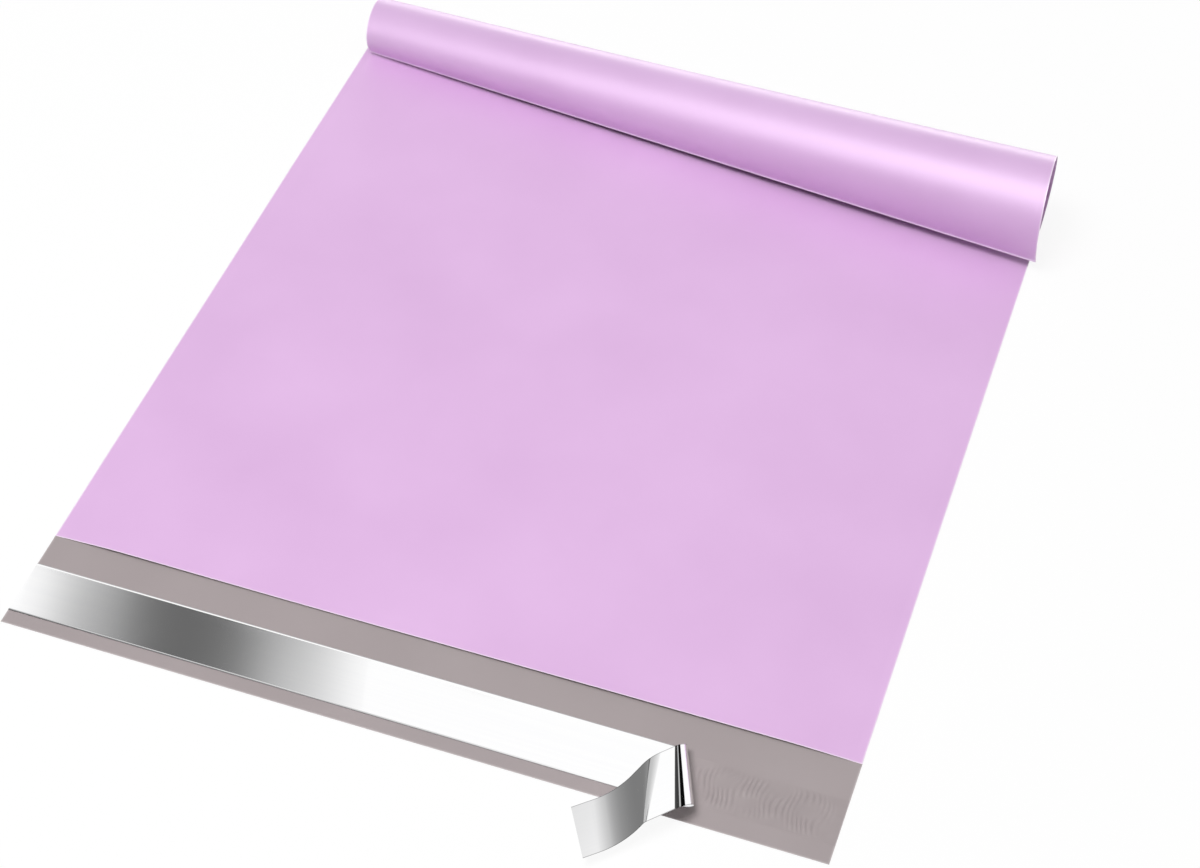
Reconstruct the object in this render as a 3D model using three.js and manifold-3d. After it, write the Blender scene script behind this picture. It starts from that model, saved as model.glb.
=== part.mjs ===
// A poly mailer bag that lies flat: one folded film with welded sides and a closing flap,
// a band of adhesive on the flap, and a release liner over it that is partly peeled back.
// The closed end of the bag is curled up and over, towards the flap.
// Millimetres, +Z up. x runs across the bag, and y from the flap's tip to the closed end.
import * as THREE from "three";
import { mergeVertices } from "three/addons/utils/BufferGeometryUtils.js";
import Module from "manifold-3d";

// Bag film
const BAG_WIDTH = 368;
const BAG_LENGTH = 445; // mouth to bottom fold
const FLAP_LENGTH = 50; // flap's tip to mouth
const FILM = 0.075;
const POCKET_GAP = 0.3; // between the front and the back panel
const SIDE_WELD = 3;

// Curl of the closed end, at the left and the right side of the bag
const CURL_RADIUS_LEFT = 15.4;
const CURL_RADIUS_RIGHT = 23.5;
const FOLD_HEIGHT_LEFT = 2.5; // the bottom fold's height above the table
const FOLD_HEIGHT_RIGHT = 9.4;
const CURL_DRIFT = 0.095; // sideways shift to the right for each millimetre of curled film

// Adhesive and release liner
const ADHESIVE = 0.05;
const ADHESIVE_WIDTH = 22;
const LINER = 0.05;
const LINER_WIDTH = 26.8;
const LINER_SETBACK = 6.7; // from the flap's tip
const LINER_END_SKEW = 6; // how far the far edge's cut end stops short of the near edge's

// The peeled end of the liner: a tight bend, a crest, a landing and a tail that lies on the table
const PEEL_ANGLE = THREE.MathUtils.degToRad(23.7); // the bend's turn away from the liner's cross line
const PEEL_RADIUS = 4.1;
const PEEL_RISE = THREE.MathUtils.degToRad(26); // the slope at which the liner leaves the tight bend
const CREST_RADIUS = 20;
const LANDING_RADIUS = 33;
const LANDING_CLEARANCE = 5.2; // from the flap's tip to where the liner's far edge comes down
const TAIL_LENGTH = 5;

// Facets
const WIDTH_STEPS = 12;
const FLAT_STEPS = 2;
const CURL_STEPS = 28;
const LAID_STEPS = 4;
const PEEL_STEPS = 12;
const CREST_STEPS = 5; // on each side of the crest
const LANDING_STEPS = 6;
const CUT_CLEARANCE = 1; // how far a cutting block runs past the face that it opens

const { lerp } = THREE.MathUtils;
const filmLength = FLAP_LENGTH + BAG_LENGTH;
const bagThickness = 2 * FILM + POCKET_GAP;
const linerBottom = FILM + ADHESIVE;
const linerMiddle = LINER_SETBACK + LINER_WIDTH / 2;

const wasm = await Module();
wasm.setup();

function toSolid(geometry) {
  const bare = geometry.clone();
  bare.deleteAttribute("normal");
  bare.deleteAttribute("uv");
  const merged = mergeVertices(bare);
  const vertProperties = merged.attributes.position.array;
  const triVerts = new Uint32Array(merged.index.array);
  return new wasm.Manifold(new wasm.Mesh({ numProp: 3, vertProperties, triVerts }));
}

function toGeometry(solid) {
  const mesh = solid.getMesh();
  const geometry = new THREE.BufferGeometry();
  geometry.setAttribute("position", new THREE.BufferAttribute(mesh.vertProperties, 3));
  geometry.setIndex(new THREE.BufferAttribute(mesh.triVerts, 1));
  geometry.computeVertexNormals();
  return geometry;
}

// A unit box cut into steps, with each corner of its grid moved by place(x, y, z, point)
function bentBox(xSteps, ySteps, place) {
  const box = new THREE.BoxGeometry(1, 1, 1, xSteps, ySteps, 1).translate(0.5, 0.5, 0.5);
  const corners = box.attributes.position;
  const point = new THREE.Vector3();
  for (let i = 0; i < corners.count; i++) {
    place(corners.getX(i), corners.getY(i), corners.getZ(i), point);
    corners.setXYZ(i, point.x, point.y, point.z);
  }
  return box;
}

function block(left, right, near, far, low, high) {
  return bentBox(1, 1, (x, y, z, point) =>
    point.set(lerp(left, right, x), lerp(near, far, y), lerp(low, high, z)),
  );
}

// The curl at a distance from the bag's left side: it starts level on the table,
// and its turn ends where the bottom fold has come down to its height again.
function curlAt(x) {
  const across = x / BAG_WIDTH;
  const radius = lerp(CURL_RADIUS_LEFT, CURL_RADIUS_RIGHT, across);
  const foldHeight = lerp(FOLD_HEIGHT_LEFT, FOLD_HEIGHT_RIGHT, across);
  const wrap = 2 * Math.PI - Math.acos(1 - foldHeight / radius);
  return { radius, wrap, start: filmLength - radius * wrap };
}

// A layer of the bag between two heights, level up to the curl and then rolled up with it
function bagLayer(left, right, far, low, high) {
  const rows = FLAT_STEPS + CURL_STEPS;
  return bentBox(WIDTH_STEPS, rows, (xShare, yShare, zShare, point) => {
    const x = lerp(left, right, xShare);
    const height = lerp(low, high, zShare);
    const row = Math.round(yShare * rows);
    const curl = curlAt(x);
    if (row <= FLAT_STEPS) {
      point.set(x, (curl.start * row) / FLAT_STEPS, height);
      return;
    }
    const fullTurn = (far - curl.start) / curl.radius;
    const turn = Math.min((curl.wrap * (row - FLAT_STEPS)) / CURL_STEPS, fullTurn);
    const arm = curl.radius - height;
    point.set(
      x + CURL_DRIFT * curl.radius * turn,
      curl.start + arm * Math.sin(turn),
      curl.radius - arm * Math.cos(turn),
    );
  });
}

// The film: a folded bag with a pocket that is open at the mouth, and the back panel alone as the flap
function filmGeometry() {
  const folded = toSolid(bagLayer(0, BAG_WIDTH, filmLength, 0, bagThickness));
  const pocketTop = FILM + POCKET_GAP;
  const pocketFar = filmLength - FILM;
  const pocket = toSolid(bagLayer(SIDE_WELD, BAG_WIDTH - SIDE_WELD, pocketFar, FILM, pocketTop));
  const overFlap = toSolid(
    block(
      -CUT_CLEARANCE,
      BAG_WIDTH + CUT_CLEARANCE,
      -CUT_CLEARANCE,
      FLAP_LENGTH,
      FILM,
      bagThickness + CUT_CLEARANCE,
    ),
  );
  return toGeometry(folded.subtract(overFlap).subtract(pocket));
}

function adhesiveGeometry() {
  const near = linerMiddle - ADHESIVE_WIDTH / 2;
  return block(0, BAG_WIDTH, near, near + ADHESIVE_WIDTH, FILM, linerBottom);
}

// The peeled liner's stretches, each with its length and its turn: the tight bend, the way up to the
// crest, a level run, the way down and the landing. The slope of the descent is the one that brings
// the tail down level, with its lower face on the table. The level run is as long as it has to be
// for the liner's far edge to come down past the flap.
function peelStretches() {
  const arc = (radius, turn, steps) => ({ length: radius * Math.abs(turn), turn, steps });
  const drop = linerBottom - LINER;
  const bendHeight = PEEL_RADIUS * (1 + Math.cos(PEEL_RISE));
  const level = LANDING_RADIUS + CREST_RADIUS * Math.cos(PEEL_RISE) - bendHeight - drop;
  const descent = Math.acos(level / (LANDING_RADIUS + CREST_RADIUS));
  const stretches = [
    arc(PEEL_RADIUS, Math.PI - PEEL_RISE, PEEL_STEPS),
    arc(CREST_RADIUS, PEEL_RISE, CREST_STEPS),
    arc(CREST_RADIUS, descent, CREST_STEPS),
    arc(LANDING_RADIUS, -descent, LANDING_STEPS),
  ];
  const reach = totalLength(stretches) - peelPath(totalLength(stretches), stretches).along;
  const landingPast = reach * Math.sin(PEEL_ANGLE) - (LINER_SETBACK + LINER_WIDTH);
  const levelRun = (LANDING_CLEARANCE - landingPast) / (2 * Math.sin(PEEL_ANGLE));
  if (levelRun > 0) stretches.splice(2, 0, { length: levelRun, turn: 0, steps: 1 });
  return stretches;
}

const totalLength = (stretches) => stretches.reduce((sum, stretch) => sum + stretch.length, 0);

// Where the liner has got to at a distance past the peel line, in the upright plane across that line
function peelPath(distance, stretches) {
  let left = Math.max(distance, 0);
  let along = Math.min(distance, 0);
  let up = 0;
  let heading = 0;
  const goStraight = (length) => {
    along += length * Math.cos(heading);
    up += length * Math.sin(heading);
  };
  for (const stretch of stretches) {
    const used = Math.min(left, stretch.length);
    left -= used;
    if (stretch.turn === 0) {
      goStraight(used);
      continue;
    }
    const radius = stretch.length / stretch.turn;
    const next = heading + used / radius;
    along += radius * (Math.sin(next) - Math.sin(heading));
    up += radius * (Math.cos(heading) - Math.cos(next));
    heading = next;
  }
  goStraight(left);
  return { along, up, heading };
}

// The liner: laid along the adhesive up to the peel line, then bent back over itself.
// Its cross lines turn from square at the left end to the peel line's direction.
function linerGeometry() {
  const stretches = peelStretches();
  const endMiddle = BAG_WIDTH - LINER_END_SKEW / 2;
  const landed = endMiddle - TAIL_LENGTH;
  const peelStart = landed - totalLength(stretches) / Math.cos(PEEL_ANGLE);
  const peelSkew = Math.tan(PEEL_ANGLE);

  const crossLines = [];
  for (let i = 0; i <= LAID_STEPS; i++) {
    const share = i / LAID_STEPS;
    crossLines.push({ x: peelStart * share, skew: peelSkew * share });
  }
  let turned = peelStart;
  for (const stretch of stretches) {
    const step = stretch.length / stretch.steps / Math.cos(PEEL_ANGLE);
    for (let i = 1; i <= stretch.steps; i++) {
      crossLines.push({ x: turned + step * i, skew: peelSkew });
    }
    turned += step * stretch.steps;
  }
  crossLines.push({ x: endMiddle, skew: LINER_END_SKEW / LINER_WIDTH });

  const across = new THREE.Vector2(Math.cos(PEEL_ANGLE), Math.sin(PEEL_ANGLE));
  const steps = crossLines.length - 1;
  return bentBox(steps, 1, (xShare, yShare, zShare, point) => {
    const line = crossLines[Math.round(xShare * steps)];
    const fromMiddle = (yShare - 0.5) * LINER_WIDTH;
    const x = line.x - line.skew * fromMiddle;
    const distance = (x - peelStart) * across.x + fromMiddle * across.y;
    const path = peelPath(distance, stretches);
    const height = zShare * LINER;
    const shift = path.along - distance - height * Math.sin(path.heading);
    point.set(
      x + shift * across.x,
      linerMiddle + fromMiddle + shift * across.y,
      linerBottom + path.up + height * Math.cos(path.heading),
    );
  });
}

const lavenderFilm = new THREE.MeshStandardMaterial({ color: 0xdfb8e4, roughness: 0.38, metalness: 0 });
const greyAdhesive = new THREE.MeshStandardMaterial({ color: 0xaaa0a1, roughness: 0.25, metalness: 0 });
const silverLiner = new THREE.MeshStandardMaterial({ color: 0xe6e6e8, roughness: 0.12, metalness: 1 });

function node(name, geometry, material) {
  const mesh = new THREE.Mesh(geometry, material);
  mesh.name = name;
  return mesh;
}

const bag = new THREE.Group();
bag.add(node("mailer_film", filmGeometry(), lavenderFilm));
bag.add(node("adhesive_strip", adhesiveGeometry(), greyAdhesive));
bag.add(node("release_liner", linerGeometry(), silverLiner));

// The origin is on the table, under the middle of the bag's level stretch.
bag.position.set(-BAG_WIDTH / 2, -curlAt(BAG_WIDTH / 2).start / 2, 0);

const part = new THREE.Group();
part.add(bag);

export default part;
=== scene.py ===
import math

import bmesh
import bpy
import numpy as np
from mathutils import Matrix, Vector


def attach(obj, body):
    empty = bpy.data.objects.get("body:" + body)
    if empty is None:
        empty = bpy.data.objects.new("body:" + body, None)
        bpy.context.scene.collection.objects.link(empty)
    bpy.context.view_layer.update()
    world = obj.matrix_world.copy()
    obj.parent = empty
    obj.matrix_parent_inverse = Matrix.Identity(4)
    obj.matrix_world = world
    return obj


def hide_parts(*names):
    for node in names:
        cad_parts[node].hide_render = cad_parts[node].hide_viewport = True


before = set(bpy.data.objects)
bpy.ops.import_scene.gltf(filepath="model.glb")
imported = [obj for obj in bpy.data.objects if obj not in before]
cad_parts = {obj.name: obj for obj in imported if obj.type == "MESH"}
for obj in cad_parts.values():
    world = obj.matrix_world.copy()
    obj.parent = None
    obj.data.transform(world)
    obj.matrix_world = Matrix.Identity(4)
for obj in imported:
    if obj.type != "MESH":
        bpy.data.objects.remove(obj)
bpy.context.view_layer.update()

# Sizes are in millimetres in the bag's own frame: x across, y from the flap's tip, z up.
MM_PER_METRE = 1000.0

# Camera: its place in metres, its axes and its lens
CAMERA_PLACE = (0.27129, -0.70418, 0.83376)
CAMERA_RIGHT = (0.94386, 0.3303, -0.00532)
CAMERA_UP = (-0.24405, 0.70804, 0.66266)
CAMERA_BACK = (0.22264, -0.62416, 0.7489)
CAMERA_LENS = 73.087
CAMERA_SENSOR = 36.0
CAMERA_CLIP = 0.01

# Bag film
BAG_WIDTH = 368.0
MOUTH = 50.0
POCKET_LENGTH = 445.0
FILM_LENGTH = MOUTH + POCKET_LENGTH
FILM = 0.075
WELD = 3.0
# Painted highlight: a pale band of the rim colour along the film's cut edges and the mouth, wider along
# the roll's free edge, stands in for the light these edges catch.
EDGE_HIGHLIGHT_WIDTH = 0.7
EDGE_HIGHLIGHT_SHARE = 0.8
FREE_EDGE_HIGHLIGHT_SPREAD = 2.5

# The CAD frame's origin, as a place in the bag's frame
ORIGIN = np.array([BAG_WIDTH / 2, 194.2115, 0.0])

# Curl of the closed end: each pair is for the left side and the right side
CURL_START = (412.5, 374.0)
CURL_DRIFT = (0.045, 0.03)
CURL_SQUASH = (0.793, 1.15)
FOLD_HEIGHT = (1.8, 6.0)
END_EASE = 0.35
END_EASE_POWER = 4
LEAST_TURN = 4.4
MOST_TURN = 6.4
TURN_TRIALS = 50
CURL_STEPS = 240
BEAD_HEIGHT = 0.55
BEAD_PLACE = 0.55
BEAD_SPREAD = 0.38

# Waves of the film and the space between its panels: each pair is where a change starts and ends
LIFT_HEIGHT = 0.16
LIFT_CROSS_WAVE = 0.6
LIFT_GROWS = (MOUTH, 110.0)
LIFT_FADES = (300.0, 365.0)
PANEL_GAP = 0.22
PANEL_WAVE = 0.17
PANEL_CROSS_WAVE = 0.5
PANEL_WAVE_FADES = (330.0, 370.0)
PANEL_SIDE = 32.0
WELD_EASE = 4.0
MOUTH_GAP = 0.5
MOUTH_GAP_WAVE = 0.18
MOUTH_GAP_LENGTH = 9.0
POCKET_FADES = (FILM_LENGTH - 9.0, FILM_LENGTH - 1.0)

# Mesh lines of the film: steps from a side, from the flap's tip, past the mouth and before the fold
SIDE_STEPS = (0.0, 0.25, 0.55, 0.9, 1.4, 2.0, 2.6, WELD, 3.5, 4.2, 5.5, 7.5, 10.5, 14.5)
FLAP_STEPS = (0.0, 0.25, 0.55, 0.9, 1.5, 3.0, 6.0, 10.0, 15.0, 21.0, 27.0, 33.0, 39.0, 44.0, 47.5, MOUTH)
MOUTH_STEPS = (0.0, 0.25, 0.55, 0.9, 1.5, 2.5, 4.0, 6.0, 9.0, 13.0)
FOLD_STEPS = (1.35, 1.15, 0.95, 0.78, 0.62, 0.46, 0.3, 0.16, 0.06, 0.0)

# Mesh lines between those steps, and the lengths that the steps along the film are shares of
WIDE_COLUMNS_FROM = 20.0
WIDE_COLUMNS = 56
LEVEL_ROWS_FROM = 18.0
LEVEL_ROWS = 58
LEVEL_LENGTH = 330.0
CURL_ROWS = 72
CURL_LENGTH = 95.0

# Adhesive: its ripples grow past the liner's bend and fade before the right side
ADHESIVE = 0.05
ADHESIVE_WIDTH = 22.0
ADHESIVE_START = 0.15
ADHESIVE_END = BAG_WIDTH - 0.4
ADHESIVE_GAP = 0.003
RIPPLE_PITCH = 2.3
RIPPLE_HEIGHT = 0.5
RIPPLE_SWAY = 0.8
RIPPLE_CROSS_SWAY = 0.6
RIPPLE_PATCH_EDGE = 0.9
RIPPLE_GROWS = (5.0, 12.0)
RIPPLE_FADES = (BAG_WIDTH - 13.0, BAG_WIDTH - 2.0)
RIPPLE_INSET = 5.0

# Mesh lines of the adhesive: coarse under the liner and fine where it is bare
COARSE_END = 280.0
COARSE_COLUMNS = 60
FINE_STEP = 0.3
FINE_COLUMNS = round((ADHESIVE_END - COARSE_END) / FINE_STEP)
ADHESIVE_ROWS = 56

# Release liner: its laid part, and the bends of its peeled end along the middle line
LINER = 0.05
LINER_WIDTH = 26.8
LINER_MIDDLE = 20.1
LINER_BOTTOM = FILM + ADHESIVE
LINER_GAP = 0.004
PEEL_START = 298.2
BEND_RADIUS = 5.0
BEND_RISE = math.radians(26)
RISE_RADIUS = 10.0
LEVEL_RUN = 7.4
CREST_RADIUS = 7.0
DESCENT = math.radians(39)
DESCENT_RUN = 3.3
LANDING_RADIUS = 26.8
TAIL_LENGTH = 8.2

# Lean of the liner's bend lines: the sideways step for each step across the strip
BEND_LEAN = 0.43
CREST_LEAN = 0.78
LANDING_LEAN = 0.345
END_LEAN = 0.26

# Liner's edges, waves and mesh lines
EDGE_LIFT = 0.1
EDGE_LIFT_WIDTH = 0.9
LINER_WAVE = 0.012
LINER_CROSS_WAVE = 0.7
LINER_WAVE_FADES = (PEEL_START - 12.0, PEEL_START - 2.0)
# Painted shade: a dark band of the rim colour along the liner's edges stands in for their contact
# shadow.
LINER_EDGE_SHADE_WIDTH = 0.45
LINER_EDGE_SHADE_SHARE = 0.85
LINER_STEPS = (0.0, 0.2, 0.45, 0.7, 1.0, 1.6, 2.4, 3.4)
LINER_MIDDLE_HALF = 9.0
LINER_MIDDLE_COLUMNS = 10
LAID_ROWS = 120

# Heights that keep the surface patterns of the pieces apart
FILM_PATTERN_STEP = 500.0
ADHESIVE_PATTERN = 900.0
LINER_PATTERN = 1300.0

# Angles in radians past which an edge is shaded as sharp
SHARP = 0.6
RIPPLE_SHARP = 1.2

# The part of a noise pattern's range that is spread over a colour or a roughness
NOISE_LOW = 0.3
NOISE_HIGH = 0.7

# Material slots of the film, and the colour sockets of a mix node
OUTSIDE, INSIDE, BACK = 0, 1, 2
MIX_FIRST, MIX_SECOND, MIX_RESULT = 6, 7, 2

# Stage, in metres
FLOOR_HALF = 3.0
FLOOR_HEIGHT = -0.0002
FLOOR_COLOR = (0.95, 0.95, 0.95, 1.0)
FLOOR_FADE = (0.28, 0.75)
FLOOR_GLOW = (0.9, 1.0)
AMBIENT = 0.28


def lerp(pair, share):
    return pair[0] + (pair[1] - pair[0]) * share


def smooth(value, low, high):
    share = np.clip((value - low) / (high - low), 0.0, 1.0)
    return share * share * (3 - 2 * share)


# Camera
def add_camera():
    data = bpy.data.cameras.new("camera")
    data.lens = CAMERA_LENS
    data.sensor_width = CAMERA_SENSOR
    data.sensor_fit = "HORIZONTAL"
    data.clip_start = CAMERA_CLIP
    camera = bpy.data.objects.new("camera", data)
    bpy.context.collection.objects.link(camera)
    turn = Matrix((CAMERA_RIGHT, CAMERA_UP, CAMERA_BACK)).transposed().to_4x4()
    camera.matrix_world = Matrix.Translation(CAMERA_PLACE) @ turn
    bpy.context.scene.camera = camera


add_camera()


# Mesh helpers
class Shell:
    """Grids of points that share corners, with quads between them."""

    def __init__(self):
        self.points = []
        self.facts = []
        self.faces = []
        self.slots = []

    def add(self, points, flat, rim):
        first = sum(len(p) for p in self.points)
        shape = points.shape[:-1]
        self.points.append(points.reshape(-1, 3))
        self.facts.append(np.concatenate([flat.reshape(-1, 3), rim.reshape(-1, 1)], 1))
        return np.arange(first, first + int(np.prod(shape))).reshape(shape)

    def face(self, corners, slot):
        self.faces.append([int(corner) for corner in corners])
        self.slots.append(slot)

    def quad_grid(self, ids, slot):
        corners = (ids[:-1, :-1], ids[1:, :-1], ids[1:, 1:], ids[:-1, 1:])
        quads = np.stack([corner.ravel() for corner in corners], 1)
        self.faces += quads.tolist()
        self.slots += [slot] * len(quads)

    def strip(self, one, other, slot):
        self.quad_grid(np.stack([one, other], 1), slot)

    def close_box(self, top, bottom, slot):
        self.quad_grid(top, slot)
        self.quad_grid(bottom, slot)
        for edge in (0, -1):
            self.strip(bottom[edge], top[edge], slot)
            self.strip(bottom[:, edge], top[:, edge], slot)

    def build(self, name, materials, sharp=SHARP):
        points = (np.concatenate(self.points) - ORIGIN) / MM_PER_METRE
        facts = np.concatenate(self.facts)
        used = sorted({corner for face in self.faces for corner in face})
        place = {corner: i for i, corner in enumerate(used)}
        points, facts = points[used], facts[used]
        faces = [[place[corner] for corner in face] for face in self.faces]
        mesh = bpy.data.meshes.new(name)
        mesh.from_pydata(points.tolist(), [], faces)
        mesh.polygons.foreach_set("material_index", self.slots)
        flat = mesh.attributes.new("flat", "FLOAT_VECTOR", "POINT")
        flat.data.foreach_set("vector", (facts[:, :3] / MM_PER_METRE).ravel())
        # The rim attribute carries painted edge light: a pale highlight band on the film and a dark
        # shade band on the liner.
        rim = mesh.attributes.new("rim", "FLOAT", "POINT")
        rim.data.foreach_set("value", facts[:, 3].copy())
        bm = bmesh.new()
        bm.from_mesh(mesh)
        bmesh.ops.recalc_face_normals(bm, faces=bm.faces)
        for face in bm.faces:
            face.smooth = True
        for edge in bm.edges:
            if edge.calc_face_angle(0.0) > sharp:
                edge.smooth = False
        bm.to_mesh(mesh)
        bm.free()
        mesh.validate()
        for material in materials:
            mesh.materials.append(material)
        piece = bpy.data.objects.new(name, mesh)
        bpy.context.collection.objects.link(piece)
        return piece


# Materials
def srgb(red, green, blue):
    def linear(value):
        value /= 255.0
        return value / 12.92 if value <= 0.04045 else ((value + 0.055) / 1.055) ** 2.4
    return (linear(red), linear(green), linear(blue), 1.0)


class Nodes:
    """Short calls for a material's node tree."""

    def __init__(self, name):
        self.material = bpy.data.materials.new(name)
        self.material.use_nodes = True
        self.tree = self.material.node_tree
        self.shader = self.tree.nodes["Principled BSDF"]
        self.output = self.tree.nodes["Material Output"]

    def new(self, kind, **settings):
        node = self.tree.nodes.new(kind)
        for key, value in settings.items():
            setattr(node, key, value)
        return node

    def link(self, source, target):
        self.tree.links.new(source, target)

    def attribute(self, name, output):
        node = self.new("ShaderNodeAttribute", attribute_name=name)
        return node.outputs[output]

    def stretched(self, vector, scale):
        node = self.new("ShaderNodeMapping")
        self.link(vector, node.inputs["Vector"])
        node.inputs["Scale"].default_value = scale
        return node.outputs["Vector"]

    def noise(self, vector, scale, detail):
        node = self.new("ShaderNodeTexNoise")
        self.link(vector, node.inputs["Vector"])
        node.inputs["Scale"].default_value = scale
        node.inputs["Detail"].default_value = detail
        return node.outputs[0]

    def ramp(self, value, stops, blend="LINEAR"):
        node = self.new("ShaderNodeValToRGB")
        node.color_ramp.interpolation = blend
        self.link(value, node.inputs[0])
        elements = node.color_ramp.elements
        while len(elements) < len(stops):
            elements.new(0.5)
        for element, (position, color) in zip(elements, stops):
            element.position = position
            element.color = color
        return node.outputs[0]

    def shades(self, pattern, dark, light):
        return self.ramp(pattern, ((NOISE_LOW, dark), (NOISE_HIGH, light)))

    def spread(self, value, start, end):
        node = self.new("ShaderNodeMapRange")
        self.link(value, node.inputs["Value"])
        node.inputs["From Min"].default_value, node.inputs["From Max"].default_value = start
        node.inputs["To Min"].default_value, node.inputs["To Max"].default_value = end
        return node.outputs[0]

    def roughen(self, pattern, rough):
        self.link(self.spread(pattern, (NOISE_LOW, NOISE_HIGH), rough), self.shader.inputs["Roughness"])

    def mix(self, factor, one, other):
        """A colour that goes from a pattern to a plain colour as the factor grows."""
        node = self.new("ShaderNodeMix", data_type="RGBA")
        self.link(factor, node.inputs["Factor"])
        self.link(one, node.inputs[MIX_FIRST])
        node.inputs[MIX_SECOND].default_value = other
        return node.outputs[MIX_RESULT]

    def bump(self, height, strength, distance, normal=None):
        node = self.new("ShaderNodeBump")
        node.inputs["Strength"].default_value = strength
        node.inputs["Distance"].default_value = distance
        self.link(height, node.inputs["Height"])
        if normal is not None:
            self.link(normal, node.inputs["Normal"])
        return node.outputs["Normal"]


def film_material(name, dark, light, rim, rough, ior):
    nodes = Nodes(name)
    flat = nodes.attribute("flat", "Vector")
    cloud = nodes.noise(flat, scale=14.0, detail=3.0)
    streak = nodes.noise(nodes.stretched(flat, (4.0, 420.0, 40.0)), scale=1.0, detail=2.0)
    grain = nodes.noise(flat, scale=1400.0, detail=2.0)
    # The rim colour over the rim attribute is a painted highlight along the film's edges.
    color = nodes.mix(nodes.attribute("rim", "Fac"), nodes.shades(cloud, dark, light), rim)
    nodes.link(color, nodes.shader.inputs["Base Color"])
    nodes.roughen(cloud, rough)
    lines = nodes.bump(streak, strength=0.12, distance=0.00006)
    fine = nodes.bump(grain, strength=0.1, distance=0.00003, normal=lines)
    nodes.link(fine, nodes.shader.inputs["Normal"])
    nodes.shader.inputs["IOR"].default_value = ior
    return nodes.material


def adhesive_material(dark, light):
    nodes = Nodes("adhesive_grey")
    flat = nodes.attribute("flat", "Vector")
    cloud = nodes.noise(flat, scale=90.0, detail=3.0)
    pull = nodes.noise(nodes.stretched(flat, (900.0, 160.0, 1.0)), scale=1.0, detail=2.0)
    nodes.link(nodes.shades(cloud, dark, light), nodes.shader.inputs["Base Color"])
    nodes.roughen(cloud, (0.34, 0.4))
    nodes.link(nodes.bump(pull, strength=0.25, distance=0.00008), nodes.shader.inputs["Normal"])
    nodes.shader.inputs["IOR"].default_value = 1.5
    return nodes.material


def liner_material(dark, light, rim):
    nodes = Nodes("silver_film")
    flat = nodes.attribute("flat", "Vector")
    streak = nodes.noise(nodes.stretched(flat, (6.0, 700.0, 1.0)), scale=1.0, detail=3.0)
    cloud = nodes.noise(flat, scale=40.0, detail=2.0)
    # The rim colour over the rim attribute is painted shade along the liner's edges.
    color = nodes.mix(nodes.attribute("rim", "Fac"), nodes.shades(streak, dark, light), rim)
    nodes.link(color, nodes.shader.inputs["Base Color"])
    nodes.roughen(cloud, (0.02, 0.035))
    nodes.link(nodes.bump(streak, strength=0.004, distance=0.00001), nodes.shader.inputs["Normal"])
    nodes.shader.inputs["Metallic"].default_value = 1.0
    return nodes.material


# The rim colours of the film materials are painted highlights along the film's edges.
lavender = film_material(
    "lavender_outside", dark=srgb(215, 173, 219), light=srgb(220, 179, 224), rim=srgb(247, 238, 248),
    rough=(0.40, 0.48), ior=1.75,
)
# A darker copy of the outside lavender for the back face, which is the roll's outside: painted shade
# that darkens the roll under its sheen.
lavender_back_painted_shade = film_material(
    "lavender_back_painted_shade", dark=srgb(208, 170, 213), light=srgb(213, 176, 218), rim=srgb(250, 243, 251),
    rough=(0.40, 0.48), ior=1.75,
)
grey = film_material(
    "grey_inside", dark=srgb(156, 146, 147), light=srgb(161, 151, 152), rim=srgb(196, 188, 189),
    rough=(0.42, 0.52), ior=1.5,
)
adhesive_grey = adhesive_material(dark=srgb(156, 146, 147), light=srgb(161, 151, 152))
# The silver's rim colour is painted shade: a dark band along the liner's edges for their contact shadow.
silver = liner_material(dark=srgb(253, 253, 254), light=srgb(255, 255, 255), rim=srgb(128, 126, 128))


# Bag film
def film_columns():
    near = np.array(SIDE_STEPS)
    wide = np.linspace(WIDE_COLUMNS_FROM, BAG_WIDTH - WIDE_COLUMNS_FROM, WIDE_COLUMNS)
    return np.concatenate([near, wide, BAG_WIDTH - near[::-1]])


def level_shares():
    """The mesh rows from the mouth to the curl, as shares of that length."""
    near = np.array(MOUTH_STEPS) / LEVEL_LENGTH
    return np.concatenate([near, np.linspace(LEVEL_ROWS_FROM / LEVEL_LENGTH, 1.0, LEVEL_ROWS)])


def curl_shares():
    """The mesh rows of the curl, as shares of its length."""
    # The level film has the first row, and the fold's rows take the place of the last two.
    main = np.linspace(0.0, 1.0, CURL_ROWS)[1:-2]
    return np.concatenate([main, 1.0 - np.array(FOLD_STEPS) / CURL_LENGTH])


def curl_line(x):
    """Shares of the curl's length with its turn, y and z there, and its length, at one side position."""
    share = x / BAG_WIDTH
    start = lerp(CURL_START, share)
    length = FILM_LENGTH - start
    height = lerp(FOLD_HEIGHT, share)
    squash = lerp(CURL_SQUASH, share)
    shares = np.linspace(0.0, 1.0, CURL_STEPS + 1)

    def bent(strength):
        ease = END_EASE * shares ** (END_EASE_POWER + 1) / (END_EASE_POWER + 1)
        turn = strength * (shares - ease)
        middle = (turn[1:] + turn[:-1]) / 2
        step = length / CURL_STEPS
        y = np.concatenate([[0.0], np.cumsum(np.cos(middle)) * step])
        z = np.concatenate([[0.0], np.cumsum(np.sin(middle)) * step]) * squash
        return y, z

    low, high = LEAST_TURN, MOST_TURN
    for _ in range(TURN_TRIALS):
        strength = (low + high) / 2
        if bent(strength)[1][-1] > height:
            low = strength
        else:
            high = strength
    y, z = bent(low)
    turn = np.unwrap(np.arctan2(np.gradient(z), np.gradient(y)))
    return shares, turn, start + y, z, length


def lift(x, y):
    """How far the bag stands off the table in gentle waves, by lengths for each radian and phases."""
    wave = np.sin(x / 41.0 + 0.6) * np.cos(y / 57.0 + 0.3)
    cross = LIFT_CROSS_WAVE * (1 + np.sin(x / 23.0 - y / 71.0 + 2.0))
    level = smooth(y, *LIFT_GROWS) * (1 - smooth(y, *LIFT_FADES))
    return LIFT_HEIGHT * (1 + wave + cross) * level


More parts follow.
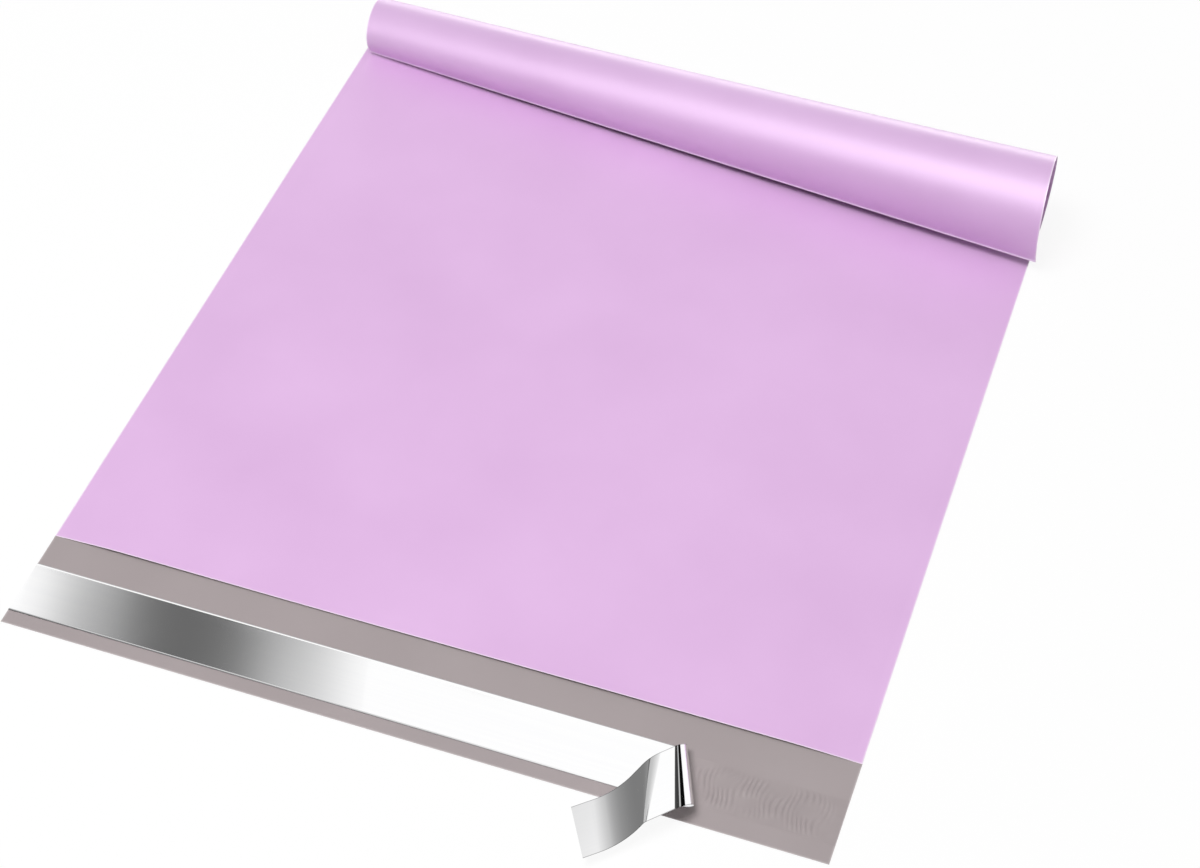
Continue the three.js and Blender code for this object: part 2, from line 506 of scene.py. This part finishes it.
def panel_gap(x, y):
    """The space between the panels, with waves by lengths for each radian and phases."""
    to_side = np.minimum(x, BAG_WIDTH - x)
    inside = smooth(to_side, WELD, PANEL_SIDE)
    off_weld = smooth(to_side, WELD, WELD + WELD_EASE)
    wave = np.sin(x / 52.0 + 1.9) * np.sin(y / 63.0 + 0.8)
    cross = PANEL_CROSS_WAVE * (1 + np.cos(x / 27.0 + y / 44.0))
    wave_height = PANEL_WAVE * (1 + wave + cross) * (1 - smooth(y, *PANEL_WAVE_FADES))
    mouth_height = MOUTH_GAP + MOUTH_GAP_WAVE * np.sin(x / 31.0 + 0.5)
    mouth_height = mouth_height * np.exp(-np.maximum(y - MOUTH, 0.0) / MOUTH_GAP_LENGTH)
    end = 1 - smooth(y, *POCKET_FADES)
    return off_weld * (PANEL_GAP + inside * (wave_height + mouth_height)) * end


def film_grid(columns):
    """The film's flat places, the places of its underside and its turn, by column and row."""
    flap, level, curl = np.array(FLAP_STEPS), level_shares()[1:], curl_shares()
    level_rows = len(flap) + len(level)
    shape = (len(columns), level_rows + len(curl))
    along, turn, base = np.zeros(shape), np.zeros(shape), np.zeros(shape + (3,))
    for i, side in enumerate(columns):
        shares, curl_turn, curl_y, curl_z, length = curl_line(side)
        start = FILM_LENGTH - length
        level_y = np.concatenate([flap, MOUTH + level * (start - MOUTH)])
        along[i] = np.concatenate([level_y, start + curl * length])
        turn[i, level_rows:] = np.interp(curl, shares, curl_turn)
        base[i, :, 0] = side
        base[i, level_rows:, 0] += lerp(CURL_DRIFT, side / BAG_WIDTH) * curl * length
        base[i, :level_rows, 1] = level_y
        base[i, level_rows:, 1] = np.interp(curl, shares, curl_y)
        base[i, level_rows:, 2] = np.interp(curl, shares, curl_z)
    x = np.repeat(columns[:, None], shape[1], 1)
    base[:, :, 2] += lift(x, along)
    return x, along, base, turn


def film_piece():
    columns = film_columns()
    x, along, base, turn = film_grid(columns)
    count, rows = x.shape
    mouth_row = len(FLAP_STEPS) - 1
    pocket_end = rows - len(FOLD_STEPS)
    first = int(np.searchsorted(columns, WELD))
    last = count - 1 - first
    pocket = slice(first, last + 1)

    def layer(height):
        out = base.copy()
        out[:, :, 1] -= height * np.sin(turn)
        out[:, :, 2] += height * np.cos(turn)
        return out

    def flat_at(number):
        return np.stack([x, along, np.full_like(x, FILM_PATTERN_STEP * number)], -1)

    # Painted highlight: a share of the pale rim colour that fades over a band at the edges.
    def rim(distance):
        return np.clip(1.0 - distance / EDGE_HIGHLIGHT_WIDTH, 0.0, 1.0) * EDGE_HIGHLIGHT_SHARE

    to_side = np.minimum(x, BAG_WIDTH - x)
    to_end = FILM_LENGTH - along
    back_edge_highlight = rim(np.minimum(np.minimum(to_side, along), to_end / FREE_EDGE_HIGHLIGHT_SPREAD))
    front_edge_highlight = rim(np.minimum(np.minimum(to_side, np.abs(along - MOUTH)), to_end))
    gap = panel_gap(x, along)
    bead = BEAD_HEIGHT * np.exp(-(((to_end - BEAD_PLACE) / BEAD_SPREAD) ** 2))

    shell = Shell()
    under = shell.add(layer(-bead), flat_at(0), back_edge_highlight)
    inner = shell.add(layer(np.full_like(x, FILM)), flat_at(1), back_edge_highlight * (along < MOUTH))
    over = shell.add(layer(FILM + gap), flat_at(2), np.zeros_like(x))
    top = shell.add(layer(2 * FILM + gap), flat_at(3), front_edge_highlight)
    over[first, :] = inner[first, :]
    over[last, :] = inner[last, :]
    over[:, pocket_end] = inner[:, pocket_end]

    shell.quad_grid(under, BACK)
    shell.quad_grid(top[:, mouth_row:], OUTSIDE)
    shell.quad_grid(inner[:, : mouth_row + 1], INSIDE)
    # The pocket's end corners are cut from the corner, so that its two layers share no diagonal.
    for wall in (inner, over):
        shell.quad_grid(wall[pocket, mouth_row:pocket_end], INSIDE)
        shell.quad_grid(wall[first + 1 : last, pocket_end - 1 : pocket_end + 1], INSIDE)
        for side, beside in ((first, first + 1), (last, last - 1)):
            corner, inward = wall[side, pocket_end], wall[beside, pocket_end - 1]
            shell.face((wall[side, pocket_end - 1], inward, corner), INSIDE)
            shell.face((inward, wall[beside, pocket_end], corner), INSIDE)
    shell.strip(under[:, 0], inner[:, 0], INSIDE)
    shell.strip(under[:, -1], top[:, -1], OUTSIDE)
    for edge in (0, -1):
        shell.strip(under[edge, : mouth_row + 1], inner[edge, : mouth_row + 1], INSIDE)
        shell.strip(under[edge, mouth_row + 1 :], top[edge, mouth_row + 1 :], OUTSIDE)
        corner = (under[edge, mouth_row], under[edge, mouth_row + 1], top[edge, mouth_row + 1])
        shell.face(corner + (top[edge, mouth_row], inner[edge, mouth_row]), OUTSIDE)
    shell.strip(over[pocket, mouth_row], top[pocket, mouth_row], OUTSIDE)
    for weld in (slice(0, first + 1), slice(last, count)):
        shell.strip(inner[weld, mouth_row], top[weld, mouth_row], OUTSIDE)
    return shell.build("bag_film", (lavender, grey, lavender_back_painted_shade))


film = film_piece()


# Adhesive
def ripples(x, y):
    """Curved ridges in patches, by lengths for each radian and phases."""
    sway = RIPPLE_SWAY * np.sin(y / 2.9 + x / 17.0)
    cross = RIPPLE_CROSS_SWAY * np.sin(x / 2.6 + y / 6.0 + 1.1)
    ridge = np.sin(2 * math.pi * (x + sway + cross) / RIPPLE_PITCH)
    patch = np.sin(x / 3.7 + 0.6) * np.cos(y / 2.7 - x / 15.0)
    patch = smooth(patch, -RIPPLE_PATCH_EDGE, RIPPLE_PATCH_EDGE)
    return RIPPLE_HEIGHT * patch * (1 + ridge) / 2


def adhesive_piece():
    near = LINER_MIDDLE - ADHESIVE_WIDTH / 2
    coarse = np.linspace(ADHESIVE_START, COARSE_END, COARSE_COLUMNS)
    fine = np.linspace(COARSE_END + FINE_STEP, ADHESIVE_END, FINE_COLUMNS)
    rows = np.linspace(near, near + ADHESIVE_WIDTH, ADHESIVE_ROWS)
    x, y = np.meshgrid(np.concatenate([coarse, fine]), rows, indexing="ij")
    past_peel = x - PEEL_START + BEND_LEAN * (y - LINER_MIDDLE)
    bare = smooth(past_peel, *RIPPLE_GROWS) * (1 - smooth(x, *RIPPLE_FADES))
    inset = smooth(np.minimum(y - near, near + ADHESIVE_WIDTH - y), 0.0, RIPPLE_INSET)
    height = LINER_BOTTOM + ripples(x, y) * bare * inset
    flat = np.stack([x, y, np.full_like(x, ADHESIVE_PATTERN)], -1)
    shell = Shell()
    rim = np.zeros_like(x)
    top = shell.add(np.stack([x, y, height], -1), flat, rim)
    bottom = shell.add(np.stack([x, y, np.full_like(x, FILM + ADHESIVE_GAP)], -1), flat, rim)
    shell.close_box(top, bottom, 0)
    return shell.build("adhesive_band", (adhesive_grey,), RIPPLE_SHARP)


adhesive = adhesive_piece()


# Release liner
def bend_lines():
    """Each bend line's place along the liner's middle, its lean and its turn."""
    # Each stretch is a length, a turn and a number of steps.
    stretches = (
        (BEND_RADIUS * (math.pi - BEND_RISE), math.pi - BEND_RISE, 40),
        (RISE_RADIUS * BEND_RISE, BEND_RISE, 16),
        (LEVEL_RUN, 0.0, 8),
        (CREST_RADIUS * DESCENT, DESCENT, 24),
        (DESCENT_RUN, 0.0, 4),
        (LANDING_RADIUS * DESCENT, -DESCENT, 36),
        (TAIL_LENGTH, 0.0, 6),
    )
    bend, _, level, _, descent, landing, tail = np.cumsum([length for length, _, _ in stretches])
    lean_at = (bend, level, descent, landing, tail)
    leans = (BEND_LEAN, CREST_LEAN, LANDING_LEAN, LANDING_LEAN, END_LEAN)
    laid = np.linspace(0.0, 1.0, LAID_ROWS)
    lines = [(PEEL_START * share, BEND_LEAN * share, 0.0) for share in laid]
    x, done = PEEL_START, 0.0
    for length, turn, steps in stretches:
        for _ in range(steps):
            done += length / steps
            lean = float(np.interp(done, lean_at, leans))
            x += length / steps * math.hypot(1.0, lean)
            lines.append((x, lean, turn / steps))
    return lines


def bend_strip(lines, across):
    """Points and normals of a flat strip after a turn at each of its bend lines."""
    turned, moved = np.eye(3), np.zeros(3)
    points, normals = [], []
    for x, lean, turn in lines:
        level = np.full_like(across, LINER_BOTTOM)
        flat = np.stack([x - lean * across, LINER_MIDDLE + across, level], -1)
        pivot = turned @ np.array([x, LINER_MIDDLE, LINER_BOTTOM]) + moved
        axis = Vector(turned @ np.array([-lean, 1.0, 0.0]))
        half = np.array(Matrix.Rotation(-turn / 2, 3, axis))
        points.append(flat @ turned.T + moved)
        normals.append(half @ turned[:, 2])
        turned = half @ half @ turned
        moved = half @ half @ (moved - pivot) + pivot
    return np.array(points), np.array(normals)


def liner_piece():
    lines = bend_lines()
    half = LINER_WIDTH / 2
    near = half - np.array(LINER_STEPS)
    middle = np.linspace(-LINER_MIDDLE_HALF, LINER_MIDDLE_HALF, LINER_MIDDLE_COLUMNS)
    across = np.concatenate([-near, middle, near[::-1]])
    points, normals = bend_strip(lines, across)
    line_x, lean = np.array(lines)[:, 0:1], np.array(lines)[:, 1:2]
    x = line_x - lean * across
    y = np.broadcast_to(across, x.shape)
    to_edge = half - np.abs(y)
    laid = 1 - smooth(line_x, *LINER_WAVE_FADES)
    edge_lift = EDGE_LIFT * np.clip(1 - to_edge / EDGE_LIFT_WIDTH, 0.0, 1.0) ** 2
    wave = 1 + np.sin(x / 7.5 + y / 19.0)
    cross = LINER_CROSS_WAVE * (1 + np.sin(x / 17.0 - y / 11.0 + 1.0))
    points[:, :, 2] += LINER_GAP + (edge_lift + LINER_WAVE * (wave + cross)) * laid
    flat = np.stack([x, y, np.full_like(x, LINER_PATTERN)], -1)
    # Painted shade along the liner's long edges: a dark share that fades over the edge band.
    rim = np.clip(1 - to_edge / LINER_EDGE_SHADE_WIDTH, 0.0, 1.0) * LINER_EDGE_SHADE_SHARE
    shell = Shell()
    bottom = shell.add(points, flat, rim)
    top = shell.add(points + LINER * normals[:, None], flat, rim)
    shell.close_box(top, bottom, 0)
    return shell.build("silver_liner", (silver,))


liner = liner_piece()


# Ties to the frame
for piece, node, slot in (
    (film, "mailer_film", "lavender_film"),
    (adhesive, "adhesive_strip", "adhesive"),
    (liner, "release_liner", "silver_liner"),
):
    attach(piece, "root")
    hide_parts(node)


# Stage
def seen_directly(tree):
    """One for rays of the camera, of reflections and through clear bodies, and nought for others."""
    rays = tree.nodes.new("ShaderNodeLightPath")
    seen = rays.outputs["Is Camera Ray"]
    for kind in ("Is Glossy Ray", "Is Transmission Ray"):
        either = tree.nodes.new("ShaderNodeMath")
        either.operation = "MAXIMUM"
        tree.links.new(seen, either.inputs[0])
        tree.links.new(rays.outputs[kind], either.inputs[1])
        seen = either.outputs[0]
    return seen


def add_stage_mesh(name, corners, material):
    mesh = bpy.data.meshes.new(name)
    mesh.from_pydata(corners, [], [(0, 1, 2, 3)])
    mesh.materials.append(material)
    thing = bpy.data.objects.new(name, mesh)
    bpy.context.collection.objects.link(thing)
    return thing


def add_floor():
    nodes = Nodes("pale_floor")
    nodes.tree.nodes.remove(nodes.shader)
    diffuse = nodes.new("ShaderNodeBsdfDiffuse")
    diffuse.inputs["Color"].default_value = FLOOR_COLOR
    glow = nodes.new("ShaderNodeEmission")
    place = nodes.new("ShaderNodeNewGeometry")
    far = nodes.new("ShaderNodeVectorMath", operation="LENGTH")
    nodes.link(place.outputs["Position"], far.inputs[0])
    share = nodes.new("ShaderNodeMath", operation="MULTIPLY")
    nodes.link(seen_directly(nodes.tree), share.inputs[0])
    nodes.link(nodes.spread(far.outputs["Value"], FLOOR_FADE, FLOOR_GLOW), share.inputs[1])
    both = nodes.new("ShaderNodeMixShader")
    nodes.link(share.outputs[0], both.inputs[0])
    nodes.link(diffuse.outputs[0], both.inputs[1])
    nodes.link(glow.outputs[0], both.inputs[2])
    nodes.link(both.outputs[0], nodes.output.inputs["Surface"])
    signs = ((-1, -1), (1, -1), (1, 1), (-1, 1))
    corners = [(x * FLOOR_HALF, y * FLOOR_HALF, FLOOR_HEIGHT) for x, y in signs]
    add_stage_mesh("floor", corners, nodes.material)


def add_world():
    world = bpy.data.worlds.new("studio")
    bpy.context.scene.world = world
    world.use_nodes = True
    tree = world.node_tree
    back = tree.nodes["Background"]
    back.inputs["Color"].default_value = (1.0, 1.0, 1.0, 1.0)
    level = tree.nodes.new("ShaderNodeMapRange")
    level.inputs["To Min"].default_value = AMBIENT
    level.inputs["To Max"].default_value = 1.0
    tree.links.new(seen_directly(tree), level.inputs["Value"])
    tree.links.new(level.outputs[0], back.inputs["Strength"])


def add_softbox(name, place, target, size, power, glossy, diffuse):
    data = bpy.data.lights.new(name, "AREA")
    data.shape = "RECTANGLE"
    data.size, data.size_y = size
    data.energy = power
    lamp = bpy.data.objects.new(name, data)
    bpy.context.collection.objects.link(lamp)
    lamp.location = place
    lamp.rotation_mode = "QUATERNION"
    lamp.rotation_quaternion = (Vector(target) - Vector(place)).to_track_quat("-Z", "Y")
    lamp.visible_camera = False
    lamp.visible_glossy = glossy
    lamp.visible_diffuse = diffuse


def add_card(name, start, end, width_way, width, stops, blend="B_SPLINE"):
    """A clear card in the bag's frame that darkens what metal reflects, with stops from start to end."""
    start, end = (np.array(place, float) - ORIGIN for place in (start, end))
    side = np.array(width_way, float)
    side = side / np.linalg.norm(side) * width / 2
    corners = (start - side, end - side, end + side, start + side)
    corners = [tuple(corner / MM_PER_METRE) for corner in corners]
    nodes = Nodes(name)
    nodes.tree.nodes.remove(nodes.shader)
    clear = nodes.new("ShaderNodeBsdfTransparent")
    greys = [(position, (value, value, value, 1.0)) for position, value in stops]
    nodes.link(nodes.ramp(nodes.attribute("along", "Fac"), greys, blend), clear.inputs["Color"])
    nodes.link(clear.outputs[0], nodes.output.inputs["Surface"])
    card = add_stage_mesh(name, corners, nodes.material)
    along = card.data.attributes.new("along", "FLOAT", "POINT")
    along.data.foreach_set("value", [0.0, 1.0, 1.0, 0.0])
    card.visible_camera = False
    card.visible_diffuse = False
    card.visible_shadow = False
    card.visible_transmission = False


add_floor()
add_world()

# Lamps, with places in metres in the CAD frame
add_softbox(
    "key", place=(-0.40, -0.50, 2.0), target=(0.0, 0.1, 0.0), size=(1.0, 1.0),
    power=33.5, glossy=False, diffuse=True,
)
add_softbox(
    "fill", place=(0.15, 0.45, 1.15), target=(0.0, 0.1, 0.0), size=(0.5, 0.5),
    power=1.2, glossy=False, diffuse=True,
)
add_softbox(
    "sheen", place=(-0.37, -0.60, 0.95), target=(-0.05, 0.2, 0.03), size=(0.95, 1.1),
    power=10.0, glossy=True, diffuse=False,
)
add_softbox(
    "sheen_right", place=(0.02, -0.60, 0.95), target=(0.1, 0.2, 0.03), size=(0.5, 1.1),
    power=8.5, glossy=True, diffuse=False,
)
add_softbox(
    "rim", place=(0.0, 1.2, 0.12), target=(0.0, 0.2, 0.04), size=(1.6, 0.25),
    power=8.0, glossy=True, diffuse=False,
)

# Cards, with places in millimetres in the bag's frame
add_card(
    "card_laid", start=(-983, 1149, 1800), end=(-465, 1149, 1800), width_way=(-0.25, 0.97, 0), width=134,
    stops=(
        (0.0, 1.0), (0.11, 0.76), (0.22, 0.44), (0.33, 0.21), (0.46, 0.125),
        (0.56, 0.155), (0.67, 0.27), (0.78, 0.5), (0.89, 0.77), (1.0, 1.0),
    ),
)
add_card(
    "card_crest", start=(-560, 2834, 3600), end=(-6200, 2834, 3600), width_way=(0, 1, 0), width=892,
    stops=(
        (0.0, 1.0), (0.03, 0.88), (0.107, 0.77), (0.19, 0.7), (0.284, 0.63),
        (0.39, 0.56), (0.514, 0.53), (0.665, 0.52), (1.0, 0.5),
    ),
)
add_card(
    "card_bend", start=(253, 266, 388), end=(450, 340, 246), width_way=(0.599, -0.607, 0.522), width=72,
    stops=(
        (0.0, 1.0), (0.04, 0.09), (0.25, 0.04), (0.43, 0.05), (0.47, 0.55),
        (0.56, 0.55), (0.6, 0.003), (0.97, 0.003), (1.0, 1.0),
    ),
    blend="LINEAR",
)
add_card(
    "card_peel", start=(123, 490, 482), end=(-402, 184, 76), width_way=(0.177, 0.662, -0.728), width=150,
    stops=(
        (0.0, 1.0), (0.09, 0.82), (0.31, 0.52), (0.42, 0.37), (0.55, 0.28), (0.75, 0.21), (1.0, 0.19),
    ),
)

bpy.context.scene.view_settings.view_transform = "Standard"
